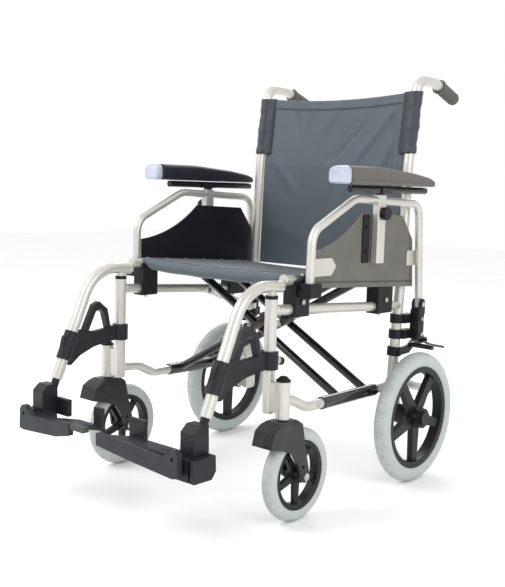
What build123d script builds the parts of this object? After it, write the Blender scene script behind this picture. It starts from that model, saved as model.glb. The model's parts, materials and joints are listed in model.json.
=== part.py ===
from build123d import *
import math
import os

# A folding manual wheelchair for pushing by an attendant, in millimetres. The user faces -Y, the
# user's left is +X, the floor is Z = 0. Every paired piece is made on the left and mirrored.

# Driving dimensions
REAR_WHEEL_R = 157.0
REAR_WHEEL_X = 307.0
REAR_AXLE_Y = 249.0
CASTER_R = 100.0
CASTER_X = 278.0
CASTER_AXLE_Y = -170.0
CASTER_STEM_Y = -220.0
FRAME_X = 237.0
POST_X = 236.0
POST_Y = -216.0
POST_TOP = 470.0
TUBE_R = 12.5
RAIL_R = 11.0
LOWER_RAIL_X = 245.0
LOWER_RAIL_Z = 226.0
UPPER_RAIL_Z0 = 434.5
RAIL_SLOPE = 0.0575
SEAT_RAIL_LIFT = 62.0
FOLD_ANGLE = 29.0
ARM_X = 272.0
ARM_PIVOT_Y = 303.0
ARM_PIVOT_Z = 424.0
PAD_X = 286.0
PAD_IN = 23.5
PAD_OUT = 28.5
SHAFT_GAP = 0.05
BODY_GAP = 0.4
CANE_FOOT = (FRAME_X, 246.0, 168.0)
CANE_KNEE = (FRAME_X, 272.0, 485.0)
HANGER_CORNER = (POST_X, -297.0, 500.0)
HANGER_END = (POST_X, -402.0, 253.0)
HANGER_RUN = math.dist(HANGER_CORNER, HANGER_END)
HANGER_DIR = tuple((e - c) / HANGER_RUN for c, e in zip(HANGER_CORNER, HANGER_END))
PLATE_PIN_X = 236.0
PLATE_PIN_Z = 188.0

# The cross brace: its two ladders turn about the lower rails and about one centre pivot.
BRACE_R = 10.0
PIVOT_Z = LOWER_RAIL_Z + LOWER_RAIL_X * math.tan(math.radians(FOLD_ANGLE))
SEAT_RAIL_X = 237.4
FRONT_BRACE_Y = -4.0
REAR_BRACE_Y = 106.0
BRACE_SHIFT = 27.5

os.makedirs("parts", exist_ok=True)


def upper_rail_z(y):
    """Height of the upper side rail's centre line, which falls towards the rear."""
    return UPPER_RAIL_Z0 - RAIL_SLOPE * y


def seat_rail_z(y):
    """Height of the seat rail's centre line, parallel to the upper side rail."""
    return upper_rail_z(y) + SEAT_RAIL_LIFT


def cane_y(z):
    """Depth of the straight lower part of the back cane at a height."""
    return CANE_FOOT[1] + (z - CANE_FOOT[2]) * (CANE_KNEE[1] - CANE_FOOT[1]) / (CANE_KNEE[2] - CANE_FOOT[2])


def along(start, direction, distance):
    """The point at a distance from start along a direction."""
    return tuple(s + d * distance for s, d in zip(start, direction))


def tube(points, bends, radius, bore=0.0, mode=Mode.ADD):
    """Add a round tube that follows straight runs joined by arcs."""
    with BuildLine(mode=Mode.PRIVATE) as path:
        if len(points) > 2:
            FilletPolyline(*points, radius=bends)
        else:
            Line(*points)
    with BuildSketch(Plane(origin=path.line @ 0, z_dir=path.line % 0), mode=Mode.PRIVATE) as section:
        Circle(radius)
        if bore:
            Circle(bore, mode=Mode.SUBTRACT)
    sweep(section.sketch, path=path.line, mode=mode)


def side_plate(points, x_low, x_high, round_off=0.0, mode=Mode.ADD):
    """Add a plate whose outline is drawn in the Y-Z plane, between two X positions."""
    with BuildSketch(Plane.YZ.offset(x_low), mode=Mode.PRIVATE) as outline:
        with BuildLine():
            Polyline(*points, close=True)
        make_face()
        if round_off:
            fillet(outline.vertices(), round_off)
    extrude(outline.sketch, amount=x_high - x_low, mode=mode)


def front_plate(points, y_front, y_rear, round_off=0.0, mode=Mode.ADD):
    """Add a plate whose outline is drawn in the X-Z plane, between two Y positions."""
    with BuildSketch(Plane.XZ.offset(-y_rear), mode=Mode.PRIVATE) as outline:
        with BuildLine():
            Polyline(*points, close=True)
        make_face()
        if round_off:
            fillet(outline.vertices(), round_off)
    extrude(outline.sketch, amount=y_rear - y_front, mode=mode)


def rod(start, end, radius, mode=Mode.ADD):
    """Add a straight round rod between two points."""
    tube([start, end], 0, radius, mode=mode)


def clear_cane():
    """Cut room for the back cane, which is a piece of its own, out of the part being built."""
    low, high = 120.0, CANE_KNEE[2]
    rod((FRAME_X, cane_y(low), low), (FRAME_X, cane_y(high), high), TUBE_R + SHAFT_GAP, Mode.SUBTRACT)


def write_one(piece, label):
    piece.label = label
    export_step(piece, f"parts/{label}.step")


def group(*builders):
    """Several separate solids that share one node."""
    return Compound([solid for builder in builders for solid in builder.part.solids()])


def write_pair(piece, label):
    """Write the left piece and its mirror image on the user's right."""
    left = piece if isinstance(piece, Compound) else piece.part
    write_one(left, f"left_{label}")
    write_one(mirror(left, about=Plane.YZ), f"right_{label}")


# Side frame: front post, caster barrel, both side rails with the tipping lever, welded together

BARREL_BORE = 8.0
with BuildPart() as side_frame:
    rod((POST_X, POST_Y, 232), (POST_X, POST_Y, POST_TOP), TUBE_R + 0.5)
    rod((CASTER_X, CASTER_STEM_Y, 228), (CASTER_X, CASTER_STEM_Y, 305), 15.0)
    with Locations((0.5 * (POST_X + CASTER_X), POST_Y - 2, 268)):
        Box(CASTER_X - POST_X, 14, 62)
    rod(
        (FRAME_X, POST_Y, upper_rail_z(POST_Y)),
        (FRAME_X, 266, upper_rail_z(266)),
        RAIL_R,
    )
    lower_rail = [
        (POST_X + 4, POST_Y, 256),
        (LOWER_RAIL_X - 1, -150, 250),
        (LOWER_RAIL_X, -100, LOWER_RAIL_Z),
        (LOWER_RAIL_X, 285, LOWER_RAIL_Z),
        (LOWER_RAIL_X, 398, 194),
    ]
    tube(lower_rail, (60, 45, 60), RAIL_R)
    # Bores for the caster stem and for the hanger's swing pin
    rod((CASTER_X, CASTER_STEM_Y, 200), (CASTER_X, CASTER_STEM_Y, 300), BARREL_BORE, Mode.SUBTRACT)
    rod((POST_X, POST_Y, 425), (POST_X, POST_Y, 500), 9.0 + SHAFT_GAP, Mode.SUBTRACT)
    # Room for the back cane, which is a piece of its own
    clear_cane()
    pieces = side_frame.part.solids().sort_by(SortBy.VOLUME)
    add(pieces[-1], mode=Mode.REPLACE)
write_pair(side_frame, "side_frame")

# Back cane: one tube from the axle bracket to the handle
CANE_POINTS = [
    CANE_FOOT,
    CANE_KNEE,
    (FRAME_X, 281, 760),
    (FRAME_X, 307, 968),
    (FRAME_X, 385, 967),
    (FRAME_X, 476, 936.6),
]
with BuildPart() as back_cane:
    tube(CANE_POINTS, (200, 200, 34, 60), TUBE_R, bore=10.5)
write_pair(back_cane, "back_cane")

# Push grip: a rubber sleeve with finger ridges under it and a collar in front
GRIP_AXIS = (0.0, 0.9484, -0.3170)
GRIP_START = along((FRAME_X, 476, 936.6), GRIP_AXIS, -74.0)
with BuildPart() as push_grip:
    rod(GRIP_START, along(GRIP_START, GRIP_AXIS, 86), 16.0)
    chamfer(push_grip.faces().sort_by(Axis.Y)[-1].edges(), 4)
    rod(GRIP_START, along(GRIP_START, GRIP_AXIS, 5), 19.0)
    for step in range(4):
        ridge = along(GRIP_START, GRIP_AXIS, 14.0 + 17.0 * step)
        lowered = (ridge[0], ridge[1] - 1.2, ridge[2] - 3.6)
        rod(lowered, along(lowered, GRIP_AXIS, 8), 15.0)
    rod(along(GRIP_START, GRIP_AXIS, -1), along(GRIP_START, GRIP_AXIS, 75), TUBE_R + SHAFT_GAP, Mode.SUBTRACT)
write_pair(push_grip, "push_grip")

# Plastic caps: post insert, barrel dome and tipping lever end
with BuildPart() as frame_caps:
    rod((POST_X, POST_Y, POST_TOP + 0.1), (POST_X, POST_Y, POST_TOP + 7), TUBE_R + 1.0)
    rod((POST_X, POST_Y, POST_TOP - 1), (POST_X, POST_Y, POST_TOP + 8), 9.0 + SHAFT_GAP, Mode.SUBTRACT)
    rod((CASTER_X, CASTER_STEM_Y, 305.1), (CASTER_X, CASTER_STEM_Y, 309), 15.5)
    with Locations((CASTER_X, CASTER_STEM_Y, 309)):
        Cone(14.5, 7.0, 7, align=(Align.CENTER, Align.CENTER, Align.MIN))
    lever_end = (LOWER_RAIL_X, 398, 194)
    lever_way = (0.0, 0.9622, -0.2725)
    rod(along(lever_end, lever_way, 0.1), along(lever_end, lever_way, 14), 12.5)
write_pair(frame_caps, "frame_caps")

# Saddles: U-shaped cradles on the upper rail that the seat rail drops into when the chair opens
SADDLES = ((-159.0, -112.0), (152.0, 212.0))
with BuildPart() as saddles:
    for y_front, y_rear in SADDLES:
        middle = 0.5 * (y_front + y_rear)
        low = upper_rail_z(middle) - 15.0
        high = seat_rail_z(middle) + 1.0
        with Locations((FRAME_X, middle, 0.5 * (low + high))):
            Box(34, y_rear - y_front, high - low)
    fillet(saddles.edges().filter_by(Axis.Y), 3)
    rod((FRAME_X, -180, upper_rail_z(-180)), (FRAME_X, 240, upper_rail_z(240)), RAIL_R + SHAFT_GAP, Mode.SUBTRACT)
    seat_line = ((SEAT_RAIL_X, -200, seat_rail_z(-200)), (SEAT_RAIL_X, 260, seat_rail_z(260)))
    rod(seat_line[0], seat_line[1], RAIL_R + BODY_GAP, Mode.SUBTRACT)
    side_plate(
        [
            (-200, seat_rail_z(-200)),
            (260, seat_rail_z(260)),
            (260, seat_rail_z(260) + 60),
            (-200, seat_rail_z(-200) + 60),
        ],
        SEAT_RAIL_X - RAIL_R - BODY_GAP,
        SEAT_RAIL_X + RAIL_R + BODY_GAP,
        mode=Mode.SUBTRACT,
    )

# Front armrest rest, on the front saddle: a shallow cup for the armrest's front leg
ARM_FRONT_Y = -137.0
SADDLE_SIDE = FRAME_X + 17.0
with BuildPart() as arm_rest_cup:
    with Locations((0.5 * (SADDLE_SIDE + 290) + 0.1, ARM_FRONT_Y, 478)):
        Box(290 - SADDLE_SIDE - 0.2, 36, 14)
    with Locations((ARM_X + 4.2, ARM_FRONT_Y, 490)):
        Box(27.6, 36, 22)
    with Locations((ARM_X, ARM_FRONT_Y + 10, 496)):
        Box(20.6, 44, 14, mode=Mode.SUBTRACT)
write_pair(group(saddles, arm_rest_cup), "seat_saddles")

# Armrest receiver: a socket behind the cane, held by two clamps, with ears for the flip-back pin
CLAMP_HEIGHTS = (350.0, 388.0)
with BuildPart() as receiver:
    with Locations((ARM_X - 2, ARM_PIVOT_Y, 374)):
        Box(24, 26, 72)
    for clamp_z in CLAMP_HEIGHTS:
        rod((FRAME_X, cane_y(clamp_z), clamp_z - 11), (FRAME_X, cane_y(clamp_z), clamp_z + 11), 17.5)
        with Locations((FRAME_X + 14, 0.5 * (cane_y(clamp_z) + ARM_PIVOT_Y), clamp_z)):
            Box(20, ARM_PIVOT_Y - cane_y(clamp_z), 22)
    for ear_x in (ARM_X - 11.5, ARM_X + 7.5):
        side_plate(
            [(290, 400), (290, 428), (297, 437), (309, 437), (316, 428), (316, 400)], ear_x, ear_x + 4
        )
    clear_cane()
    rod((240, ARM_PIVOT_Y, ARM_PIVOT_Z), (300, ARM_PIVOT_Y, ARM_PIVOT_Z), 4.0 + SHAFT_GAP, Mode.SUBTRACT)

# Wheel lock bracket, below it on the cane: a clamp with a curved arm that carries the lever's pin
LOCK_PIVOT = (262.0, 345.0, 330.0)
with BuildPart() as lock_bracket:
    rod((FRAME_X, cane_y(296), 296), (FRAME_X, cane_y(318), 318), 17.5)
    side_plate(
        [(262, 298), (262, 316), (300, 320), (330, 338), (345, 341), (354, 332), (345, 320), (325, 316), (300, 300)],
        246,
        254,
    )
    clear_cane()
    rod((246, LOCK_PIVOT[1], LOCK_PIVOT[2]), (276, LOCK_PIVOT[1], LOCK_PIVOT[2]), 3.0)
write_pair(group(receiver, lock_bracket), "rear_clamps")

# Flip-back pin and the bolts of the clamps, the saddles and the side frame
with BuildPart() as frame_bolts:
    rod((ARM_X - 15, ARM_PIVOT_Y, ARM_PIVOT_Z), (ARM_X + 15, ARM_PIVOT_Y, ARM_PIVOT_Z), 4.0)
    for head_x in (ARM_X - 15, ARM_X + 12):
        rod((head_x, ARM_PIVOT_Y, ARM_PIVOT_Z), (head_x + 3, ARM_PIVOT_Y, ARM_PIVOT_Z), 6.5)
    for bolt_z in CLAMP_HEIGHTS:
        rod((ARM_X + 10.1, ARM_PIVOT_Y, bolt_z), (ARM_X + 14, ARM_PIVOT_Y, bolt_z), 5.0)
    for saddle in SADDLES:
        bolt_y = 0.5 * (saddle[0] + saddle[1])
        bolt_z = upper_rail_z(bolt_y)
        rod((SADDLE_SIDE + 0.1, bolt_y, bolt_z + 17), (SADDLE_SIDE + 4, bolt_y, bolt_z + 17), 5.5)
        rod((FRAME_X, bolt_y, bolt_z - 15.3), (FRAME_X, bolt_y, bolt_z - 21), 4.5)
    rod((LOWER_RAIL_X + 11.2, -66, LOWER_RAIL_Z), (LOWER_RAIL_X + 14, -66, LOWER_RAIL_Z), 4.5)
# Wheel lock lever: a foot lever with a shoe that presses on the tyre
with BuildPart() as lock_lever:
    side_plate(
        [(290, 316), (290, 326), (322, 330), (338, 341), (352, 342), (358, 330), (352, 320), (338, 320), (300, 314)],
        256,
        262,
    )
    rod((256, LOCK_PIVOT[1], LOCK_PIVOT[2]), (272, LOCK_PIVOT[1], LOCK_PIVOT[2]), 8.0)
    tube([(264, 345, 326), (264, 385, 312), (264, 450, 299)], 30, 3.5)
    rod((256, 296, 322), (322, 296, 322), 6.0)
    rod((240, LOCK_PIVOT[1], LOCK_PIVOT[2]), (280, LOCK_PIVOT[1], LOCK_PIVOT[2]), 3.0 + SHAFT_GAP, Mode.SUBTRACT)
write_pair(lock_lever, "wheel_lock_lever")

# Rear axle with the bracket that carries it below the cane
AXLE_R = 6.0
with BuildPart() as rear_axle:
    with Locations((FRAME_X + 1, REAR_AXLE_Y - 1, 172)):
        Box(34, 36, 66)
    fillet(rear_axle.edges().filter_by(Axis.X), 8)
    rod((250, REAR_AXLE_Y, REAR_WHEEL_R), (336, REAR_AXLE_Y, REAR_WHEEL_R), AXLE_R)
    rod((255.5, REAR_AXLE_Y, REAR_WHEEL_R), (262, REAR_AXLE_Y, REAR_WHEEL_R), 12.0)
    clear_cane()
write_pair(rear_axle, "rear_axle")


def make_rim(centre, ring_in, ring_out, width, hub_r, hub_span, spoke, bore):
    """A five-spoked rim: a ring, flat tapered spokes and a hub with a bore."""
    x, y, z = centre
    wheel_plane = Plane(origin=centre, x_dir=(0, 1, 0), z_dir=(1, 0, 0))
    with BuildPart() as rim:
        with BuildSketch(wheel_plane):
            Circle(ring_out)
            Circle(ring_in, mode=Mode.SUBTRACT)
        extrude(amount=width / 2, both=True)
        chamfer(rim.edges().filter_by(GeomType.CIRCLE).group_by(SortBy.RADIUS)[0], 2.0)
        for step in range(5):
            turn = math.radians(270 + 72 * step)
            spoke_way = (0, math.cos(turn), math.sin(turn))
            with BuildSketch(Plane(origin=centre, x_dir=spoke_way, z_dir=(1, 0, 0))):
                with BuildLine():
                    Polyline(
                        (hub_r - 3, -spoke[0] / 2),
                        (ring_in + 3, -spoke[1] / 2),
                        (ring_in + 3, spoke[1] / 2),
                        (hub_r - 3, spoke[0] / 2),
                        close=True,
                    )
                make_face()
            extrude(amount=spoke[2] / 2, both=True)
        rod((x + hub_span[0], y, z), (x + hub_span[1], y, z), hub_r)
        rod((x - 99, y, z), (x + 99, y, z), bore, Mode.SUBTRACT)
    return rim


def make_tyre(centre, radius, section, seat):
    """A tyre of round section, flattened where it sits on its rim."""
    with BuildPart() as tyre:
        with BuildSketch(Plane(origin=centre, x_dir=(1, 0, 0), z_dir=(0, -1, 0))):
            with Locations((0, radius - section)):
                Circle(section)
            with Locations((0, seat / 2)):
                Rectangle(4 * section, seat, mode=Mode.SUBTRACT)
        revolve(axis=Axis(centre, (1, 0, 0)))
    return tyre


REAR_CENTRE = (REAR_WHEEL_X, REAR_AXLE_Y, REAR_WHEEL_R)
REAR_SEAT = 124.0
rear_rim = make_rim(REAR_CENTRE, 109, REAR_SEAT - SHAFT_GAP, 28, 24, (-44, 27), (28, 20, 15), AXLE_R + SHAFT_GAP)
write_pair(make_tyre(REAR_CENTRE, REAR_WHEEL_R, 19.5, REAR_SEAT), "rear_tyre")
with BuildPart() as hub_cap:
    rod((REAR_WHEEL_X + 30.5, REAR_AXLE_Y, REAR_WHEEL_R), (REAR_WHEEL_X + 34, REAR_AXLE_Y, REAR_WHEEL_R), 19.0)
    chamfer(hub_cap.edges().group_by(Axis.X)[-1], 2.5)
write_pair(group(rear_rim, hub_cap), "rear_rim")

# Caster: fork with its stem, axle bolt, rim and tyre
CASTER_CENTRE = (CASTER_X, CASTER_AXLE_Y, CASTER_R)
CASTER_SEAT = 75.0
FORK_HALF = 26.0
CASTER_BOLT_R = 4.0
with BuildPart() as fork:
    side_plate(
        [
            (-283, 178),
            (-274, 208),
            (-246, 225),
            (-196, 225),
            (-183, 214),
            (-168, 150),
            (-156, 108),
            (-158, 90),
            (-172, 86),
            (-185, 95),
            (-190, 122),
            (-214, 158),
            (-248, 170),
        ],
        CASTER_X - FORK_HALF,
        CASTER_X + FORK_HALF,
    )
    fillet(fork.edges().filter_by(Axis.X).sort_by(Axis.Z)[:4], 6)
    chamfer(fork.faces().sort_by(Axis.Z)[-1].edges().filter_by(Axis.Y), 7)
    rod((CASTER_X - 19.5, CASTER_AXLE_Y, CASTER_R), (CASTER_X + 19.5, CASTER_AXLE_Y, CASTER_R), 107, Mode.SUBTRACT)
    rod((CASTER_X, CASTER_STEM_Y, 220), (CASTER_X, CASTER_STEM_Y, 296), BARREL_BORE - SHAFT_GAP)
    axle_hole = (CASTER_AXLE_Y, CASTER_R)
    spare_hole = (CASTER_AXLE_Y - 7, CASTER_R + 22)
    for hole_y, hole_z in (axle_hole, spare_hole):
        rod((CASTER_X - 40, hole_y, hole_z), (CASTER_X + 40, hole_y, hole_z), CASTER_BOLT_R + SHAFT_GAP, Mode.SUBTRACT)
write_pair(fork, "caster_fork")
with BuildPart() as caster_bolt:
    rod((CASTER_X - 30, CASTER_AXLE_Y, CASTER_R), (CASTER_X + 30, CASTER_AXLE_Y, CASTER_R), CASTER_BOLT_R)
    for head_x in (CASTER_X - 31, CASTER_X + 26.2):
        rod((head_x, CASTER_AXLE_Y, CASTER_R), (head_x + 4.8, CASTER_AXLE_Y, CASTER_R), 8.0)
write_pair(caster_bolt, "caster_bolt")
caster_rim = make_rim(
    CASTER_CENTRE, 63, CASTER_SEAT - SHAFT_GAP, 24, 15, (-18, 18), (17, 12, 10), CASTER_BOLT_R + SHAFT_GAP
)
write_pair(caster_rim, "caster_rim")
write_pair(make_tyre(CASTER_CENTRE, CASTER_R, 16.0, CASTER_SEAT), "caster_tyre")

# Hanger: bent tube that hangs on the front post by a pin, and carries the foot stem inside its end
STEM_R = 9.0
with BuildPart() as hanger:
    tube([(POST_X, -187, 494), HANGER_CORNER, HANGER_END], 95, TUBE_R)
    rod((POST_X, POST_Y, 496), (POST_X, POST_Y, 432), 9.0)
    rod(along(HANGER_END, HANGER_DIR, 2), along(HANGER_END, HANGER_DIR, -170), STEM_R + SHAFT_GAP, Mode.SUBTRACT)
write_pair(hanger, "hanger_tube")

# Latch: a clamp on the hanger, a curved arm and a clip round the front post
CLIP_LOW, CLIP_HIGH = 324.0, 362.0
with BuildPart() as latch:
    rod(along(HANGER_END, HANGER_DIR, -46), along(HANGER_END, HANGER_DIR, -112), 17.0)
    side_plate(
        [
            (-396, 300),
            (-384, 348),
            (-352, 362),
            (-300, 352),
            (-262, 356),
            (-228, 362),
            (-228, 326),
            (-262, 322),
            (-300, 316),
            (-340, 300),
            (-366, 280),
            (-386, 284),
        ],
        POST_X - 6,
        POST_X + 6,
        3,
    )
    rod((POST_X, POST_Y, CLIP_LOW), (POST_X, POST_Y, CLIP_HIGH), 18.5)
    rod((POST_X, POST_Y, CLIP_LOW - 5), (POST_X, POST_Y, CLIP_HIGH + 5), TUBE_R + 0.5 + BODY_GAP, Mode.SUBTRACT)
    with Locations((POST_X, POST_Y + 16, 343)):
        Box(22, 20, 60, mode=Mode.SUBTRACT)
    rod(HANGER_END, along(HANGER_END, HANGER_DIR, -165), TUBE_R + SHAFT_GAP, Mode.SUBTRACT)

# Pull loop: the release strap that arches over the latch arm
with BuildPart() as pull_loop:
    with BuildSketch(Plane.YZ.offset(POST_X - 8)):
        with BuildLine():
            Polyline((-252, 357), (-262, 402), (-286, 421), (-302, 414), (-330, 356), (-318, 354), (-297, 398),
                     (-285, 404), (-272, 392), (-262, 356), close=True)
        make_face()
    extrude(amount=16)
    add(latch.part, mode=Mode.SUBTRACT)
write_pair(group(latch, pull_loop), "hanger_latch")

# Foot stem: the sliding inner tube, its housing and the hinge block with the footplate pin
with BuildPart() as foot_stem:
    rod(along(HANGER_END, HANGER_DIR, -130), (POST_X, -428, 192), STEM_R)
    side_plate([(-452, 188), (-452, 232), (-436, 246), (-412, 246), (-410, 188)], 219, 255, 3)
    side_plate([(-470, 143), (-470, 188), (-411, 190), (-409, 158), (-420, 143)], 222, 274, 3)
    with Locations((262, -470, 165)):
        Box(5, 30, 60, mode=Mode.SUBTRACT)
    side_plate([(-412, 176), (-412, 214), (-400, 214), (-400, 176)], 182, 226, 2)
    rod((PLATE_PIN_X, -487, PLATE_PIN_Z), (PLATE_PIN_X, -440, PLATE_PIN_Z), 4.0)
write_pair(foot_stem, "foot_stem")

# Footplate: a deep front bar with the hinge ear, and a ribbed deck that falls towards the heel
PLATE_FRONT = -490.0
DECK_REAR = -390.0


def make_footplate(inner):
    """Left footplate whose inner end is at X = inner."""
    with BuildPart() as plate:
        front_plate(
            [
                (inner, 169),
                (inner, 195),
                (205, 187),
                (222, 196),
                (231, 206),
                (243, 206),
                (250, 196),
                (251, 154),
                (236, 151),
                (120, 159),
            ],
            PLATE_FRONT,
            -477,
            2,
        )
        deck_top = ((-478, 190), (DECK_REAR, 168))
        side_plate([deck_top[0], deck_top[1], (DECK_REAR, 162), (-478, 182)], inner, 212)
        with Locations((200, -420.5, 178)):
            Box(56, 69, 60, mode=Mode.SUBTRACT)
        for rib in range(14):
            rib_y = -472 + 6.0 * rib
            rib_z = 190 - 22 * (rib_y + 478) / 92
            long_end = 198 if rib_y < -457 else 164
            with Locations((0.5 * (inner + 8 + long_end), rib_y, rib_z)):
                Box(long_end - inner - 8, 2.2, 2.4)
        guard = 48.0 if inner < 50 else 28.0
        with Locations((inner + guard / 2, -397, 187)):
            Box(guard, 8, 50)
        rod((PLATE_PIN_X, -500, PLATE_PIN_Z), (PLATE_PIN_X, -470, PLATE_PIN_Z), 4.0 + SHAFT_GAP, Mode.SUBTRACT)
    return plate


left_plate = make_footplate(14.0)
write_one(left_plate.part, "left_footplate")
right_plate = make_footplate(76.0)
write_one(mirror(right_plate.part, about=Plane.YZ), "right_footplate")

# The tongue in the inner end of the right footplate
with BuildPart() as tongue:
    with Locations((-52, -480.5, 189)):
        Box(47, 14, 12)
    fillet(tongue.edges().filter_by(Axis.Y), 3)
    add(mirror(right_plate.part, about=Plane.YZ), mode=Mode.SUBTRACT)
write_one(tongue.part, "footplate_tongue")

# Armrest: bent tube with a sleeve for the pad post; it flips back about the receiver's pin
POST_Y_ARM = 112.0
SLEEVE = (18.0, 30.0)
with BuildPart() as arm_tube:
    tube(
        [
            (ARM_X, 301.5, 440),
            (ARM_X, 282, 668),
            (ARM_X, 16, 678),
            (ARM_X, -134, 607),
            (ARM_X, ARM_FRONT_Y, 490.5),
        ],
        (34, 70, 45),
        9.5,
    )
    with Locations((ARM_X, POST_Y_ARM, 610)):
        Box(SLEEVE[0], SLEEVE[1], 154)
    fillet(arm_tube.edges().filter_by(Axis.Z), 3)
    with Locations((ARM_X, POST_Y_ARM, 620)):
        Box(10 + 2 * SHAFT_GAP, 20 + 2 * SHAFT_GAP, 150, mode=Mode.SUBTRACT)
    side_plate([(296, 415), (296, 446), (308, 446), (310, 415)], ARM_X - 7, ARM_X + 7, 3)
    rod((240, ARM_PIVOT_Y, ARM_PIVOT_Z), (300, ARM_PIVOT_Y, ARM_PIVOT_Z), 4.0 + SHAFT_GAP, Mode.SUBTRACT)

# Side panel: a thin skirt inside the armrest tube, with a hollow curve to its upper front edge
PANEL_OUT = ARM_X - 9.5 - 0.6
with BuildPart() as panel:
    with BuildSketch(Plane.YZ.offset(PANEL_OUT - 4)):
        with BuildLine():
            Polyline((-132, 562), (-132, 489), (286, 468), (276, 582), (228, 640), (60, 646))
            ThreePointArc((60, 646), (-10, 598), (-132, 562))
        make_face()
    extrude(amount=4)
    with BuildSketch(Plane.YZ.offset(PANEL_OUT - 0.8)):
        with BuildLine():
            Polyline((-120, 502), (275, 482), (275, 484), (-120, 504), close=True)
        make_face()
    extrude(amount=2, mode=Mode.SUBTRACT)
write_pair(panel, "side_panel")

# Armrest brackets: front tab, rear tab and the strip in front of the sleeve
with BuildPart() as arm_tabs:
    side_plate([(-128, 512), (-128, 550), (-52, 550), (-36, 531), (-52, 512)], PANEL_OUT + 0.1, PANEL_OUT + 3, 5)
    side_plate([(250, 520), (250, 556), (291, 556), (294, 520)], PANEL_OUT + 0.1, PANEL_OUT + 3, 4)
    add(arm_tube.part, mode=Mode.SUBTRACT)
write_pair(group(arm_tube, arm_tabs), "armrest_tube")

with BuildPart() as arm_knob:
    rod((ARM_X + 9.2, POST_Y_ARM, 646), (ARM_X + 12, POST_Y_ARM, 646), 9.0)
    rod((ARM_X + 12, POST_Y_ARM, 646), (ARM_X + 24, POST_Y_ARM, 646), 14.5)
    with Locations(Plane(origin=(ARM_X + 18, POST_Y_ARM, 646), x_dir=(0, 1, 0), z_dir=(1, 0, 0))):
        with PolarLocations(16.0, 6):
            Cylinder(2.6, 16, mode=Mode.SUBTRACT)
    side_plate([(62, 534), (62, 643), (88, 643), (88, 534)], PANEL_OUT + 0.1, PANEL_OUT + 3, 3)
    rod((PANEL_OUT + 2, 75, 560), (PANEL_OUT + 6, 75, 560), 4.0)
    rod((PANEL_OUT + 2, 75, 616), (PANEL_OUT + 6, 75, 616), 4.0)
write_pair(arm_knob, "armrest_knob")

# Arm pad: post that slides in the sleeve with the rail under the pad, the pad and its front cap
with BuildPart() as pad_post:
    with Locations((ARM_X, POST_Y_ARM, 624)):
        Box(10, 20, 140)
    rod((PAD_X - 4, -20, 699.5), (PAD_X - 4, 288, 699.5), 8.0)
    with Locations((0.5 * (ARM_X + PAD_X), POST_Y_ARM, 697)):
        Box(26, 40, 12)
write_pair(pad_post, "pad_post")

with BuildPart() as arm_pad:
    side_plate(
        [(-22, 709), (-22, 749), (70, 751), (230, 743), (296, 730), (314, 716), (304, 709)],
        PAD_X - PAD_IN,
        PAD_X + PAD_OUT,
    )
    fillet(arm_pad.edges().filter_by(Axis.X).sort_by(Axis.Y)[-3:], 4)
    top_edges = arm_pad.edges().filter_by(lambda e: abs(e.center().X - PAD_X) > 0.9 * PAD_IN and e.center().Z > 741)
    fillet(top_edges, 9)
    rod((PAD_X - 4, -40, 699.5), (PAD_X - 4, 320, 699.5), 9.6, Mode.SUBTRACT)
write_pair(arm_pad, "arm_pad")

with BuildPart() as pad_cap:
    side_plate(
        [(-22.5, 709), (-22.5, 749), (-52, 746), (-80, 729), (-77, 715), (-60, 709)], PAD_X - 26, PAD_X + 26, 2
    )
    fillet(pad_cap.edges().filter_by(lambda e: abs(e.center().X - PAD_X) > 25 and e.center().Z > 735), 5)
    rod((PAD_X - 4, -40, 699.5), (PAD_X - 4, 320, 699.5), 9.6, Mode.SUBTRACT)
write_pair(pad_cap, "pad_cap")


def make_ladder(side, y_front, y_rear):
    """Cross-brace weldment: sleeve on the lower rail at X = side, two long tubes, crossing the chair."""
    foot_x = side * LOWER_RAIL_X
    top_x = -side * SEAT_RAIL_X
    top_z = LOWER_RAIL_Z + (LOWER_RAIL_X + SEAT_RAIL_X) * math.tan(math.radians(FOLD_ANGLE))
    with BuildPart() as ladder:
        rod((foot_x, -45, LOWER_RAIL_Z), (foot_x, 160, LOWER_RAIL_Z), 14.5)
        for y in (y_front, y_rear):
            rod((foot_x, y, LOWER_RAIL_Z), (top_x, y, top_z), BRACE_R)
        rod((foot_x, -60, LOWER_RAIL_Z), (foot_x, 180, LOWER_RAIL_Z), RAIL_R + SHAFT_GAP, Mode.SUBTRACT)
        rail = ((top_x, -200, seat_rail_z(-200)), (top_x, 260, seat_rail_z(260)))
        rod(rail[0], rail[1], RAIL_R + SHAFT_GAP, Mode.SUBTRACT)
        side_plate(
            [
                (-200, seat_rail_z(-200) + RAIL_R),
                (260, seat_rail_z(260) + RAIL_R),
                (260, seat_rail_z(260) + 60),
                (-200, seat_rail_z(-200) + 60),
            ],
            -300,
            300,
            mode=Mode.SUBTRACT,
        )
        body = ladder.part.solids().sort_by(SortBy.VOLUME)[-1]
        add(body, mode=Mode.REPLACE)
        for y in (y_front, y_rear):
            rod((0, y - 20, PIVOT_Z), (0, y + 20, PIVOT_Z), 4.0 + SHAFT_GAP, Mode.SUBTRACT)
    return ladder


write_one(make_ladder(-1, FRONT_BRACE_Y, REAR_BRACE_Y).part, "right_brace")
write_one(make_ladder(1, FRONT_BRACE_Y + BRACE_SHIFT, REAR_BRACE_Y + BRACE_SHIFT).part, "left_brace")

with BuildPart() as cross_bolts:
    for y in (FRONT_BRACE_Y, REAR_BRACE_Y):
        rod((0, y - 13, PIVOT_Z), (0, y + BRACE_SHIFT + 13, PIVOT_Z), 4.0)
        rod((0, y - 13, PIVOT_Z), (0, y - 10.3, PIVOT_Z), 8.0)
        rod((0, y + BRACE_SHIFT + 10.3, PIVOT_Z), (0, y + BRACE_SHIFT + 14, PIVOT_Z), 8.0)
        rod((0, y + 10.3, PIVOT_Z), (0, y + BRACE_SHIFT - 10.3, PIVOT_Z), 8.0)
write_one(cross_bolts.part, "cross_bolts")

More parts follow.
